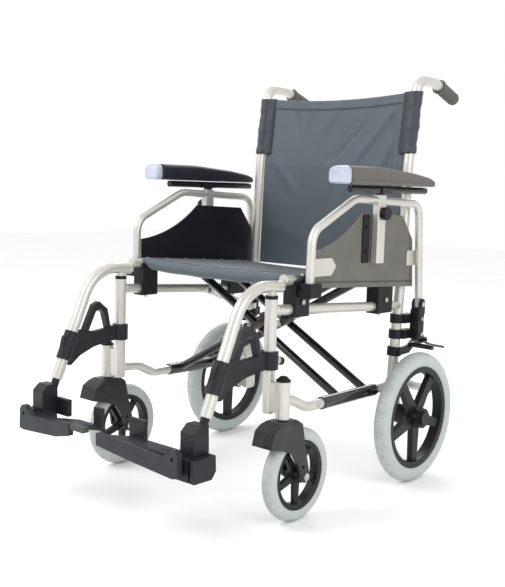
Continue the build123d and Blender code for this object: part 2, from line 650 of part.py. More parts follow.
# Seat rails, each welded to the top of a ladder, and the plugs in their front ends
SEAT_RAIL_SPAN = (-176.0, 240.0)
with BuildPart() as seat_rail:
    rail_ends = [(SEAT_RAIL_X, y, seat_rail_z(y)) for y in SEAT_RAIL_SPAN]
    rod(rail_ends[0], rail_ends[1], RAIL_R)
with BuildPart() as rail_plug:
    rod((SEAT_RAIL_X, -176.2, seat_rail_z(-176.2)), (SEAT_RAIL_X, -182, seat_rail_z(-182)), 11.5)
write_pair(group(seat_rail, rail_plug), "seat_rail")

# Support links from the upper side rails to the ladders
LINK_Y = 63.0
LINK_OUT = (212.0, upper_rail_z(LINK_Y) - 4.0)
LINK_IN = (69.0, 400.0)
with BuildPart() as link_pin:
    rod((LINK_OUT[0], LINK_Y - 9, LINK_OUT[1]), (LINK_OUT[0], LINK_Y + 9, LINK_OUT[1]), 3.0)
    for ear_y in (LINK_Y - 7.5, LINK_Y + 7.5):
        with Locations((LINK_OUT[0] + 6, ear_y, LINK_OUT[1])):
            Box(22, 3, 14)
    rod((FRAME_X, -200, upper_rail_z(-200)), (FRAME_X, 240, upper_rail_z(240)), RAIL_R + SHAFT_GAP, Mode.SUBTRACT)
write_pair(group(frame_bolts, link_pin), "frame_bolts")
with BuildPart() as link:
    link_plane = Plane(
        origin=(0.5 * (LINK_OUT[0] + LINK_IN[0]), LINK_Y + 2, 0.5 * (LINK_OUT[1] + LINK_IN[1])),
        x_dir=(LINK_OUT[0] - LINK_IN[0], 0, LINK_OUT[1] - LINK_IN[1]),
        z_dir=(0, -1, 0),
    )
    span = math.dist(LINK_OUT, LINK_IN)
    with BuildSketch(link_plane):
        SlotCenterToCenter(span, 18)
        with Locations((-span / 2, 0), (span / 2, 0)):
            Circle(3.0 + SHAFT_GAP, mode=Mode.SUBTRACT)
        with GridLocations(span / 6, 1, 5, 1):
            Circle(3.5, mode=Mode.SUBTRACT)
    extrude(amount=4)
write_pair(link, "support_link")

# Seat sling and back sling: soft upholstery
SLING_TOP = 20.0
with BuildPart() as seat_sling:
    side_plate(
        [
            (-160, seat_rail_z(-160) + RAIL_R + BODY_GAP),
            (-160, seat_rail_z(-160) + SLING_TOP),
            (236, seat_rail_z(236) + SLING_TOP),
            (236, seat_rail_z(236) + RAIL_R + BODY_GAP),
        ],
        -248,
        248,
    )
write_one(seat_sling.part, "seat_sling")

with BuildPart() as back_sling:
    side_plate(
        [(268, 512), (272, 512), (279.5, 760), (302, 938), (298, 938), (275.5, 760)],
        -FRAME_X + TUBE_R + 1.0,
        FRAME_X - TUBE_R - 1.0,
    )
    for side in (-1, 1):
        cane = [(side * FRAME_X, 281 + 0.125 * 30, 790), (side * FRAME_X, 281 + 0.125 * 172, 932)]
        rod(cane[0], cane[1], TUBE_R + 3.0)
        rod(
            (side * FRAME_X, 281, 760), (side * FRAME_X, 307, 968), TUBE_R + BODY_GAP, Mode.SUBTRACT
        )
        rod(
            (side * FRAME_X, 272, 485), (side * FRAME_X, 281, 760), TUBE_R + BODY_GAP, Mode.SUBTRACT
        )
write_one(back_sling.part, "back_sling")
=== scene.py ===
# %% [markdown]
# # Dressing a folding transit wheelchair
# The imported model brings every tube, wheel and joint as fixed meshes. This lesson gives
# them their finishes and adds what solids can't show: cloth slings, stitching, foam arm
# pads, ribbed hand grips, weld beads and screws. All numbers are metres in the model's
# own frame: -Y is the front, +X is the sitter's left and the floor is z = 0.

# %% Load the fixed frame
import json
import math

import bmesh
import bpy
from mathutils import Matrix, Vector


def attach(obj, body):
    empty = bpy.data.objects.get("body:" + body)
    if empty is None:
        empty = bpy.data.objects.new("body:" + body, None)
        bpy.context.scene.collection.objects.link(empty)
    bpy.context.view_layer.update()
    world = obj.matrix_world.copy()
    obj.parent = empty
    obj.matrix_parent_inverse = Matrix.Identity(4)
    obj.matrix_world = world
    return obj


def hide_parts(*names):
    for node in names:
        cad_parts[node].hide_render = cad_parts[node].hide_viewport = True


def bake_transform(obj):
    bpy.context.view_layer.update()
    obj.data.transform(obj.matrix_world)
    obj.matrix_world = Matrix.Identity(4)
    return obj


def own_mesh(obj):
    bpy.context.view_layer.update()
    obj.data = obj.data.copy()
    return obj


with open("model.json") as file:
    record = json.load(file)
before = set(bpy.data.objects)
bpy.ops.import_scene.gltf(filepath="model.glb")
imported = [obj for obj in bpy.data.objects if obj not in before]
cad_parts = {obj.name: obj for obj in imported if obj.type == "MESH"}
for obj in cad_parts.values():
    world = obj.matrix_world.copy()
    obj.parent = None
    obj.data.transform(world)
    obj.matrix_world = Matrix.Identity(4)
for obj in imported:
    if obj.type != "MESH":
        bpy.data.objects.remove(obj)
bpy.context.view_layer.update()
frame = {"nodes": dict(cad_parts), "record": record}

# %% [markdown]
# ## Camera
# A chair is usually shown from its front left corner, a little above the seat, so that
# both wheels, a footrest and the whole back can be seen. A fixed matrix says exactly where
# the camera stands: its first three columns are its right, its up and its back.

# %% Camera
view = bpy.data.objects.new("view", bpy.data.cameras.new("view"))
view.data.lens = 55.59
view.data.sensor_width = 36.0
view.matrix_world = Matrix(
    (
        (0.74942, -0.09852, 0.65472, 1.42230),
        (0.66144, 0.06761, -0.74694, -1.62912),
        (0.02932, 0.99284, 0.11584, 0.69526),
        (0.0, 0.0, 0.0, 1.0),
    )
)
bpy.context.collection.objects.link(view)
bpy.context.scene.camera = view
print("camera at", tuple(round(v, 2) for v in view.location))

# %% [markdown]
# ## Studio
# A product studio is a pale sweep and a few very large soft lamps. One big lamp high on
# the left front models the tubes, a weaker one fills from the right, and a strip behind
# draws a bright edge on the dark parts. The white surroundings keep shadows soft.

# %% Lamps
def soft_lamp(name, place, aim, size, watts):
    """A square area lamp at place that looks at aim."""
    lamp = bpy.data.objects.new(name, bpy.data.lights.new(name, "AREA"))
    lamp.data.size = size
    lamp.data.energy = watts
    lamp.location = place
    lamp.rotation_euler = (Vector(aim) - Vector(place)).to_track_quat("-Z", "Y").to_euler()
    bpy.context.collection.objects.link(lamp)
    return lamp


soft_lamp("key_lamp", (-1.3, -2.2, 2.6), (0.0, 0.0, 0.5), 1.8, 62)
soft_lamp("fill_lamp", (2.7, -0.6, 1.5), (0.0, 0.1, 0.5), 1.6, 26)
soft_lamp("back_lamp", (-1.2, 2.2, 2.2), (0.0, 0.2, 0.7), 1.4, 22)

world = bpy.data.worlds.new("surroundings")
bpy.context.scene.world = world
world.use_nodes = True
world.node_tree.nodes["Background"].inputs["Color"].default_value = (1.0, 1.0, 1.0, 1.0)
world.node_tree.nodes["Background"].inputs["Strength"].default_value = 1.0
bpy.context.scene.view_settings.view_transform = "Standard"

# %% [markdown]
# ## Values that add and multiply
# A finish is mostly arithmetic on masks: a scuff is a noise times a height, and bare
# colour is one minus dirt. Wiring that by hand is slow to read, so one small class wraps
# a socket and turns + - * / into Math nodes, in either order of the operands.

# %% A value in a finish
class Flow:
    """One output socket of a finish, with arithmetic."""

    def __init__(self, finish, socket):
        self.finish, self.socket = finish, socket

    def math(self, operation, *values):
        return self.finish.node("ShaderNodeMath", {"operation": operation}, dict(enumerate(values)))

    def __add__(self, other):
        return self.math("ADD", self, other)

    def __sub__(self, other):
        return self.math("SUBTRACT", self, other)

    def __rsub__(self, other):
        return self.math("SUBTRACT", other, self)

    def __mul__(self, other):
        return self.math("MULTIPLY", self, other)

    def __truediv__(self, other):
        return self.math("DIVIDE", self, other)

    def __rtruediv__(self, other):
        return self.math("DIVIDE", other, self)

    def __pow__(self, other):
        return self.math("POWER", self, other)

    def __abs__(self):
        return self.math("ABSOLUTE", self)

    __radd__, __rmul__ = __add__, __mul__

    def wave(self):
        return self.math("SINE", self)

    def step(self, low, high):
        """0 below low and 1 above high, smooth between; the other way round if low is more."""
        turned = low > high
        low, high = min(low, high), max(low, high)
        rise = self.finish.node(
            "ShaderNodeMapRange", {"interpolation_type": "SMOOTHSTEP"}, {"Value": self, 1: low, 2: high}
        )
        return 1 - rise if turned else rise


# %% [markdown]
# ## A finish being mixed
# Every finish starts from the same shader, and what is constant over it is set there. One
# method makes any node, so each of the others is a short name for a pattern that the
# finishes below share: a noise, a cell pattern, a mix of two colours, a bump.

# %% A finish being mixed
class Finish:
    """A material, with one method for any node and short ones for the common needs."""

    def __init__(self, name, **constants):
        self.material = bpy.data.materials.new(name)
        self.material.use_nodes = True
        self.tree = self.material.node_tree
        self.shader = self.tree.nodes["Principled BSDF"]
        for key, value in constants.items():
            self.shader.inputs[key.replace("_", " ").title().replace("Ior", "IOR")].default_value = value
        self.where = self.node("ShaderNodeTexCoord", out="Object")

    def node(self, kind, settings=None, sockets=None, out=0):
        """Any node: its type, its settings, then the values or links of its sockets."""
        made = self.tree.nodes.new(kind)
        for key, value in (settings or {}).items():
            setattr(made, key, value)
        for key, value in (sockets or {}).items():
            if isinstance(value, Flow):
                self.tree.links.new(value.socket, made.inputs[key])
            else:
                made.inputs[key].default_value = value
        return Flow(self, made.outputs[out])

    def axis(self, index, of=None):
        """One coordinate: 0 is X, 1 is Y and 2 is Z."""
        return self.node("ShaderNodeSeparateXYZ", None, {0: of or self.where}, index)

    def stretched(self, scale):
        return self.node("ShaderNodeVectorMath", {"operation": "MULTIPLY"}, {0: self.where, 1: scale})

    def noise(self, scale, detail=2.0, rough=0.5, at=None):
        sockets = {"Vector": at or self.where, "Scale": scale, "Detail": detail, "Roughness": rough}
        return self.node("ShaderNodeTexNoise", None, sockets)

    def cells(self, scale, at=None):
        return self.node("ShaderNodeTexVoronoi", None, {"Vector": at or self.where, "Scale": scale})

    def blend(self, share, first, second):
        """Two colours mixed; a colour is a triple or a Flow."""
        pair = {6: first, 7: second}
        pair = {k: v if isinstance(v, Flow) else (*v, 1.0) for k, v in pair.items()}
        return self.node("ShaderNodeMix", {"data_type": "RGBA"}, {0: share, **pair}, 2)

    def wear(self, colour, rough=None):
        """Wire what varies over the surface: its colour and, if given, its roughness."""
        self.tree.links.new(colour.socket, self.shader.inputs["Base Color"])
        if rough is not None:
            self.tree.links.new(rough.socket, self.shader.inputs["Roughness"])

    def relief(self, height, depth):
        """Bump: height 0 to 1 stands depth metres proud."""
        sockets = {"Height": height, "Distance": depth, "Strength": 1.0}
        bump = self.node("ShaderNodeBump", None, sockets, "Normal")
        self.tree.links.new(bump.socket, self.shader.inputs["Normal"])
        return self.material


# %% [markdown]
# ## Silver lacquer
# The frame is steel tube under a warm silver lacquer with fine metal flake. The flake
# glitters at well under a millimetre, the lacquer itself has a faint orange peel, and low
# down the tubes collect dull road dust. Flake drives roughness, peel drives the bump.

# %% Silver lacquer
def silver_lacquer(name, tint=(0.58, 0.565, 0.52)):
    """Lacquer with metal flake, dusty below knee height."""
    f = Finish(name, metallic=0.55, coat_weight=0.35, coat_roughness=0.12)
    flake = f.noise(2600.0, 1.0)
    peel = f.noise(160.0, 2.0)
    cloudy = f.noise(9.0, 3.0)
    dust = f.axis(2).step(0.34, 0.10) * f.noise(38.0, 4.0, 0.6).step(0.46, 0.72)
    bright = f.blend(cloudy.step(0.3, 0.7), tint, tuple(0.9 * c for c in tint))
    glitter = f.blend(flake.step(0.55, 0.75) * 0.35, bright, (0.86, 0.85, 0.82))
    f.wear(f.blend(dust * 0.45, glitter, (0.36, 0.33, 0.28)), 0.26 + flake * 0.14 + dust * 0.3)
    return f.relief(peel * 0.8 + flake * 0.2, 0.00006)


finishes = {
    "frame_paint": silver_lacquer("frame_paint"),
    "axle_steel": silver_lacquer("axle_steel", (0.55, 0.535, 0.50)),
}
print("silver lacquer ready")

# %% [markdown]
# ## Dark lacquers
# The cross braces carry thick gloss black that mirrors the studio in long streaks; forks
# and levers are a satin version. Hairline scratches run mostly along the tubes. They are
# a noise squeezed hard in two directions, and they only lift the roughness.

# %% Dark lacquers
def dark_lacquer(name, colour, rough, coat):
    """Black or near-black lacquer with fine scratches and dust."""
    f = Finish(name, coat_weight=coat, coat_roughness=0.05, specular_ior_level=0.25)
    scratch = f.noise(55.0, 3.0, 0.7, f.stretched((26.0, 1.2, 26.0))).step(0.62, 0.70)
    dust = f.noise(24.0, 5.0, 0.65).step(0.5, 0.8)
    peel = f.noise(140.0, 2.0)
    f.wear(
        f.blend(dust * 0.14 + scratch * 0.05, colour, (0.20, 0.19, 0.18)),
        rough + dust * 0.16 + scratch * 0.12,
    )
    return f.relief(peel, 0.00005)


finishes["brace_black"] = dark_lacquer("brace_black", (0.006, 0.006, 0.007), 0.16, 0.7)
finishes["fork_black"] = dark_lacquer("fork_black", (0.014, 0.015, 0.017), 0.32, 0.18)
finishes["black_steel"] = dark_lacquer("black_steel", (0.010, 0.010, 0.012), 0.30, 0.3)
print("dark lacquers ready")

# %% [markdown]
# ## Moulded plastics
# Each moulding has the fine spark-eroded grain of its tool, about half a millimetre, which
# breaks up reflections. Handling polishes it unevenly, so a slow noise moves the roughness
# and a paler one marks scuffs. One function makes them all from a colour and a grain.

# %% Moulded plastics
def moulding(name, colour, rough, grain, scuff=0.25, pale=(0.32, 0.32, 0.32), shine=0.22):
    """A moulded plastic; scuff says how much of the pale colour shows in the marks."""
    f = Finish(name, specular_ior_level=shine)
    tooth = f.noise(grain, 2.0, 0.6)
    polish = f.noise(14.0, 3.0)
    marks = f.noise(46.0, 6.0, 0.75).step(0.60, 0.74) * f.noise(8.0, 1.0).step(0.45, 0.65)
    deep = f.blend(polish.step(0.35, 0.7), colour, tuple(0.78 * c for c in colour))
    f.wear(f.blend(marks * scuff, deep, pale), rough + polish * 0.14 - marks * 0.05)
    return f.relief(tooth, 0.00012)


finishes["black_plastic"] = moulding("black_plastic", (0.008, 0.008, 0.010), 0.36, 1500.0)
finishes["latch_plastic"] = moulding("latch_plastic", (0.015, 0.017, 0.020), 0.30, 1300.0)
finishes["rim_black"] = moulding("rim_black", (0.012, 0.013, 0.015), 0.34, 1200.0, 0.3)
finishes["cap_grey"] = moulding("cap_grey", (0.46, 0.49, 0.60), 0.34, 1400.0, 0.12, (0.7, 0.7, 0.72), 0.45)
finishes["footplate_slate"] = moulding(
    "footplate_slate", (0.026, 0.030, 0.036), 0.34, 900.0, 0.5, (0.25, 0.26, 0.27)
)
print("mouldings ready")

# %% [markdown]
# ## Bare steel
# Bolts and punched links are zinc plated. Zinc dries in soft blotches and the punch leaves
# fine drawn lines, so blotches tint the colour and stretched noise moves the roughness.

# %% Bare steel
def zinc_plate(name, colour):
    """Zinc plated steel with blotches and drawn lines."""
    f = Finish(name, metallic=1.0)
    blotch = f.cells(90.0).step(0.1, 0.9)
    drawn = f.noise(70.0, 3.0, 0.6, f.stretched((3.0, 30.0, 30.0)))
    f.wear(f.blend(blotch, colour, tuple(0.72 * c for c in colour)), 0.24 + drawn * 0.2 + blotch * 0.06)
    return f.relief(drawn, 0.00005)


finishes["bolt_steel"] = zinc_plate("bolt_steel", (0.60, 0.60, 0.59))
finishes["link_steel"] = zinc_plate("link_steel", (0.62, 0.62, 0.60))
print("steel ready")

# %% [markdown]
# ## Tyres
# Solid non-marking tyres are a pale grey rubber with a hint of green. The tread picks up
# a faint grey film, the mould leaves fine rings on the sidewall, and the wheels carry two
# sizes. The radius from the axle places the film and the rings, so each size of tyre has
# its own finish.

# %% Tyre rubber
def tyre_rubber(name, axle_y, axle_z, outer):
    """Pale rubber for a tyre of outer radius about an axle along X."""
    f = Finish(name, specular_ior_level=0.4)
    across = f.axis(1) - axle_y
    up = f.axis(2) - axle_z
    radius = (across * across + up * up) ** 0.5
    tread = radius.step(outer - 0.010, outer - 0.002)
    film = tread * f.noise(60.0, 5.0, 0.7).step(0.36, 0.66)
    smudge = f.noise(17.0, 4.0, 0.6).step(0.5, 0.8)
    rings = (radius * (2 * math.pi / 0.0028)).wave() * radius.step(outer - 0.004, outer - 0.006)
    rubber = f.blend(smudge * 0.5, (0.41, 0.445, 0.44), (0.33, 0.36, 0.355))
    f.wear(f.blend(film * 0.5, rubber, (0.27, 0.28, 0.27)), 0.46 + f.noise(30.0, 2.0) * 0.14 + film * 0.15)
    return f.relief(rings * 0.35 + f.noise(700.0, 2.0) * 0.65, 0.00018)


REAR_WHEEL_R, CASTER_R = 0.157, 0.100
rear_rubber = tyre_rubber("rear_tyre_rubber", 0.249, REAR_WHEEL_R, REAR_WHEEL_R)
caster_rubber = tyre_rubber("caster_tyre_rubber", -0.170, CASTER_R, CASTER_R)
finishes["tyre_grey"] = rear_rubber
print("rubber for two tyre sizes")

# %% [markdown]
# ## Grip rubber and pad skin
# Hand grips are a soft taupe rubber. The arm pads are foam with its own skin, pressed with
# a leather grain. Leather grain is a cell pattern whose edges are creases, bent a little
# by noise so that the cells aren't round. The sitter's side of a pad is painted near black
# as painted shade.

# %% Soft skins
def soft_skin(name, colour, painted_shade, rough, cell, depth, inner):
    """A grained skin whose colour is the painted shade colour where |x| is less than inner."""
    f = Finish(name, sheen_weight=0.08, sheen_roughness=0.5, specular_ior_level=0.35)
    push = f.node("ShaderNodeVectorMath", {"operation": "SCALE"}, {0: f.noise(300.0), "Scale": 0.0012})
    bent = f.node("ShaderNodeVectorMath", {"operation": "ADD"}, {0: f.where, 1: push})
    grain = f.cells(cell, bent)
    worn = f.noise(20.0, 3.0).step(0.45, 0.75)
    # outside is 1 beyond inner; inside it the colour is painted shade, standing in for the shadow on the
    # sitter's side.
    outside = abs(f.axis(0)).step(inner - 0.004, inner + 0.006)
    skin = f.blend(worn * 0.5, colour, tuple(0.8 * c for c in colour))
    f.wear(f.blend(outside, painted_shade, skin), rough - worn * 0.10 + grain * 0.08)
    return f.relief(1 - grain, depth)


# For a grip the second colour is painted shade, which no part of a grip reaches.
finishes["grip_rubber"] = soft_skin(
    "grip_rubber", (0.085, 0.080, 0.073), (0.05, 0.047, 0.044), 0.55, 700.0, 0.00020, 0.10
)
# For a pad the second colour is near-black painted shade on the side facing the sitter.
finishes["pad_foam"] = soft_skin(
    "pad_foam", (0.100, 0.088, 0.078), (0.008, 0.008, 0.016), 0.46, 420.0, 0.00025, 0.272
)
print("skins ready")

# %% [markdown]
# ## Side panels
# The guard beside the seat is a taupe moulding with a pressed groove a centimetre inside
# its lower and rear edges. The groove follows straight edges, so the distance from each
# edge's line draws it in the bump, and its colour is darkened as painted shade. The face
# towards the sitter is painted near black as painted shade.

# %% Side panel plastic
def guard_plastic(name):
    """The side panel's moulding, with its groove darkened and its inner face painted near black, both as
    painted shade.
    """
    f = Finish(name, specular_ior_level=0.4)
    tooth = f.noise(1100.0, 3.0, 0.6)
    polish = f.noise(11.0, 3.0)
    outside = abs(f.axis(0)).step(0.2588, 0.2592)
    above = f.axis(2) - (0.4824 - 0.0502 * f.axis(1))
    before = (0.286 - 0.0877 * (f.axis(2) - 0.468)) - f.axis(1)
    groove_low = abs(above - 0.012).step(0.0018, 0.0004)
    groove_rear = abs(before - 0.010).step(0.0018, 0.0004)
    groove = groove_low.math("MAXIMUM", groove_low, groove_rear) * outside
    taupe = f.blend(polish.step(0.35, 0.7), (0.118, 0.112, 0.096), (0.100, 0.096, 0.083))
    # Inside |x| = 0.259 the colour is painted shade, near black, on the face towards the sitter.
    taupe_with_shaded_inside = f.blend(outside, (0.003, 0.003, 0.008), taupe)
    # The groove's colour is darkened towards near black as painted shade in its hollow.
    f.wear(f.blend(groove * 0.7, taupe_with_shaded_inside, (0.03, 0.03, 0.027)), 0.42 + polish * 0.16)
    return f.relief(tooth * 0.12 - groove, 0.0009)


finishes["panel_taupe"] = guard_plastic("panel_taupe")
print("side panel plastic ready")

# %% [markdown]
# ## Sling cloth
# Seat and back are coated nylon in slate blue. Close up it is a plain weave, over and
# under at about a millimetre; the coating gives it a soft sheen and dulls where people
# sit. The weave needs the cloth's own directions, so it reads the flat UV map, which is in
# metres, and not the place in space.

# %% Sling cloth
SLATE_BLUE = (0.066, 0.088, 0.110)


def coated_nylon(name, colour):
    """Plain woven nylon with a coating, on the cloth's flat map."""
    f = Finish(name, sheen_weight=0.25, sheen_roughness=0.4, specular_ior_level=0.45, coat_weight=0.0)
    flat = f.node("ShaderNodeUVMap", {"uv_map": "flat"}, None, "UV")
    thread = 2 * math.pi / 0.0018
    warp = (f.axis(0, flat) * thread).wave()
    weft = (f.axis(1, flat) * thread).wave()
    weave = warp * weft * 0.5 + 0.5
    slub = f.noise(900.0, 2.0, 0.5, flat)
    faded = f.noise(7.0, 4.0, 0.6).step(0.35, 0.7)
    lint = f.noise(260.0, 5.0, 0.8, flat).step(0.66, 0.74)
    dyed = f.blend(faded, colour, tuple(0.84 * c for c in colour))
    threads = f.blend(weave * 0.35, dyed, tuple(0.7 * c for c in colour))
    f.wear(f.blend(lint * 0.10, threads, (0.3, 0.34, 0.38)), 0.40 + weave * 0.10 + slub * 0.12 - faded * 0.05)
    return f.relief(weave * 0.7 + slub * 0.3, 0.00022)


back_cloth_finish = coated_nylon("back_nylon", SLATE_BLUE)
finishes["upholstery"] = coated_nylon("upholstery", SLATE_BLUE)
sleeve_finish = coated_nylon("sleeve_nylon", (0.030, 0.038, 0.050))
thread_finish = moulding("thread", (0.050, 0.060, 0.072), 0.6, 3000.0, 0.1)
print("cloths ready")

# %% [markdown]
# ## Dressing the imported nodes
# A node whose shape is already right only needs its finish. The record says which slot
# each node belongs to, so one loop dresses them all, and the two tyre sizes get theirs.

# %% Dress the nodes
slot_of = {row["node"]: row["material_slot"] for row in frame["record"]["subparts"]}
for name, part in frame["nodes"].items():
    finish = finishes[slot_of[name]]
    if name.endswith("_tyre"):
        finish = rear_rubber if "rear" in name else caster_rubber
    part.data.materials.clear()
    part.data.materials.append(finish)
print("dressed", len(slot_of), "nodes")

# %% [markdown]
# ## Building helpers
# Every new piece is a mesh made from rows of points. A skin through rows covers pads,
# grips and cloth; turning a profile about an axis makes screws and beads; and a row of
# short bars makes stitches. Pieces keep their origin at the world's, so that the model
# frame's numbers can be used as they are.

# %% Mesh helpers
def sign_of(side):
    """+1 for the sitter's left and -1 for the right."""
    return 1 if side == "left" else -1


def piece(name, mesh, finish, body):
    """Link a finished bmesh as a piece that rides on a body."""
    data = bpy.data.meshes.new(name)
    mesh.normal_update()
    mesh.to_mesh(data)
    mesh.free()
    made = bpy.data.objects.new(name, data)
    bpy.context.collection.objects.link(made)
    data.materials.append(finish)
    for face in data.polygons:
        face.use_smooth = True
    if body:
        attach(made, body)
    return made


def skin_rows(rows, ring=True, capped=True, flat=None, mesh=None):
    """A bmesh through rows of points; flat gives each point's place on the uncut cloth."""
    mesh = bmesh.new() if mesh is None else mesh
    made = [[mesh.verts.new(p) for p in row] for row in rows]
    span = len(rows[0])
    uv = mesh.loops.layers.uv.new("flat") if flat else None
    for i in range(len(rows) - 1):
        for j in range(span if ring else span - 1):
            k = (j + 1) % span
            face = mesh.faces.new((made[i][j], made[i][k], made[i + 1][k], made[i + 1][j]))
            if uv:
                for loop, (a, b) in zip(face.loops, ((i, j), (i, k), (i + 1, k), (i + 1, j))):
                    loop[uv].uv = flat[a][b]
    if ring and capped:
        mesh.faces.new(list(reversed(made[0])))
        mesh.faces.new(made[-1])
    return mesh


def turn(mesh, origin, axis, profile, around=24):
    """Add a turned shape to a bmesh: profile is (radius, distance along the axis)."""
    axis = Vector(axis).normalized()
    side = axis.orthogonal().normalized()
    other = axis.cross(side)
    rows = []
    for radius, along in profile:
        centre = Vector(origin) + axis * along
        rows.append(
            [
                mesh.verts.new(centre + side * radius * math.cos(a) + other * radius * math.sin(a))
                for a in (2 * math.pi * k / around for k in range(around))
            ]
        )
    for low, high in zip(rows, rows[1:]):
        for j in range(around):
            k = (j + 1) % around
            mesh.faces.new((low[j], low[k], high[k], high[j]))
    mesh.faces.new(list(reversed(rows[0])))
    mesh.faces.new(rows[-1])


def ring_skin(rows, sign, inside_out, **how):
    """Skin rows drawn for the left side, mirrored if sign is -1, with its faces turned outwards."""
    mesh = skin_rows([[Vector((sign * p.x, p.y, p.z)) for p in row] for row in rows], **how)
    if inside_out:
        bmesh.ops.reverse_faces(mesh, faces=mesh.faces)
    return mesh


def soften(made):
    """One level of subdivision, which rounds every corner a little."""
    sub = made.modifiers.new("smooth", "SUBSURF")
    sub.levels = sub.render_levels = 1
    return made


print("helpers ready")

# %% [markdown]
# ## Stitches
# A lockstitch shows as short bars of thread lying in a line, about 3 mm long with a small
# gap. Each bar is a tiny six-sided capsule, bent with the line it follows, and a whole row
# of them is one piece.

# %% Stitch rows
def stitch_row(name, lines, body, length=0.0034, gap=0.0013, thick=0.00055):
    """Thread bars along each polyline in lines."""
    mesh = bmesh.new()
    tip = thick * 0.35
    capsule = [(tip, 0.0), (thick, length * 0.15), (thick, length * 0.85), (tip, length)]
    for line in lines:
        line = [Vector(p) for p in line]
        steps = [(b - a).length for a, b in zip(line, line[1:])]
        total, at = sum(steps), gap

        def along(distance):
            for (a, b), step in zip(zip(line, line[1:]), steps):
                if distance <= step:
                    return a.lerp(b, distance / step)
                distance -= step
            return line[-1]

        while at + length < total:
            start, end = along(at), along(at + length)
            turn(mesh, start, end - start, capsule, 6)
            at += length + gap
    return piece(name, mesh, thread_finish, body)


print("stitching helper ready")

# %% [markdown]
# ## The back cane's line
# The back cloth, its sleeves and the grips all follow the bent back tubes. Their line is
# known from the tubes: three straight runs, so a short table of corners gives the place of
# the tube at any height.

# %% Back cane
CANE_X = 0.237
cane_run = [(0.246, 0.168), (0.272, 0.485), (0.281, 0.760), (0.307, 0.968)]


def cane_y(z):
    """How far back the cane's centre is at height z."""
    for (y0, z0), (y1, z1) in zip(cane_run, cane_run[1:]):
        if z <= z1 or (y1, z1) == cane_run[-1]:
            return y0 + (y1 - y0) * (z - z0) / (z1 - z0)


print("cane leans from", round(cane_y(0.5), 3), "to", round(cane_y(0.94), 3))

# %% [markdown]
# ## The back cloth
# One sheet of nylon hangs between the two canes, pulled tight by its sleeves. It bellies
# back a little in the middle, its top edge dips, and strain folds run down and inwards
# from where the left sleeve pulls. A fold is a smooth ridge along a line; each is given by
# its two ends, its half width and its height.

# %% Back cloth
BACK_HALF, BACK_LOW, BACK_HIGH = 0.2215, 0.492, 0.936
BACK_FLAT, TOP_DIP, BELLY = (0.443, 0.446), 0.011, 0.012
pulls = [
    ((0.185, 0.905), (0.050, 0.745), 0.011, 0.0050),
    ((0.130, 0.905), (-0.010, 0.770), 0.012, -0.0040),
    ((0.110, 0.890), (0.005, 0.790), 0.009, 0.0035),
    ((0.205, 0.860), (0.110, 0.690), 0.013, 0.0040),
    ((0.182, 0.900), (0.176, 0.700), 0.009, -0.0045),
    ((0.015, 0.925), (-0.030, 0.850), 0.010, 0.0035),
    ((-0.070, 0.925), (-0.085, 0.865), 0.010, 0.0030),
    ((-0.140, 0.915), (-0.120, 0.840), 0.011, -0.0030),
    ((-0.195, 0.780), (-0.120, 0.690), 0.014, 0.0025),
    ((-0.200, 0.600), (-0.080, 0.560), 0.020, 0.0022),
    ((0.205, 0.610), (0.090, 0.560), 0.020, 0.0022),
]


def ridge(x, z, start, end, half, height):
    """Height of one strain fold at a point of the cloth."""
    a, b, p = Vector(start), Vector(end), Vector((x, z))
    share = max(0.0, min(1.0, (p - a).dot(b - a) / (b - a).length_squared))
    off = (p - a.lerp(b, share)).length
    fade = math.sin(math.pi * min(1.0, max(0.0, 0.08 + 0.84 * share))) ** 0.7
    return height * fade * math.exp(-((off / half) ** 2))


def back_surface(u, v):
    """Point of the back cloth, u across and v up, both 0 to 1."""
    x = BACK_HALF * (2 * u - 1)
    tight = 1 - (x / BACK_HALF) ** 2
    z = BACK_LOW + (BACK_HIGH - BACK_LOW - TOP_DIP * tight) * v
    belly = BELLY * tight * math.sin(math.pi * (0.12 + 0.76 * v))
    folds = sum(ridge(x, z, *pull) for pull in pulls) * min(1.0, 6 * tight)
    return Vector((x, cane_y(z) + 0.001 + belly - folds, z))


def thicken(made, thick):
    """Give a sheet its thickness, half to each side."""
    shell = made.modifiers.new("cloth", "SOLIDIFY")
    shell.thickness, shell.offset = thick, 0.0
    return made


def cloth(name, surface, mesh_size, cut, thick, finish, body):
    """A sheet through surface(u, v), mesh_size faces across and up, with its flat map of the cut size."""
    across, up = mesh_size
    width, length = cut
    rows = [[surface(i / across, j / up) for i in range(across + 1)] for j in range(up + 1)]
    flat = [[(width * i / across, length * j / up) for i in range(across + 1)] for j in range(up + 1)]
    return thicken(piece(name, skin_rows(rows, ring=False, flat=flat), finish, body), thick)


back_cloth = cloth(
    "back_cloth", back_surface, (110, 100), BACK_FLAT, 0.0020, back_cloth_finish, "right_frame"
)
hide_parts("back_sling")
print("back cloth spans", [round(v, 3) for v in back_cloth.dimensions])

# %% [markdown]
# ## Back hem and sleeves
# The cloth's top edge is folded over and sewn down. At each side a darker sleeve slips
# over the cane; its two layers meet beside the tube in a flat seam with two rows of
# stitches. The hem is drawn as a strip that goes up the front, over the edge and down.

# %% Back hem
HEM_FLAT, HEM_DEEP, HEM_STITCH = (0.443, 0.046), 0.052, 0.045
OVER_TOP = 0.9


def hem_surface(u, v):
    """From the front's lower edge over the top fold to the back's lower edge."""
    turned = math.pi * (v - 0.5) / 0.5
    if abs(turned) < OVER_TOP:
        top = back_surface(u, 1.0)
        return top + Vector((0.0, 0.0024 * math.sin(turned), 0.0014 * math.cos(turned)))
    side = 1 if turned > 0 else -1
    down = (abs(turned) - OVER_TOP) / (math.pi - OVER_TOP)
    spot = back_surface(u, 1.0 - HEM_DEEP * down)
    return spot + Vector((0.0, 0.0020 * side, -0.0002))


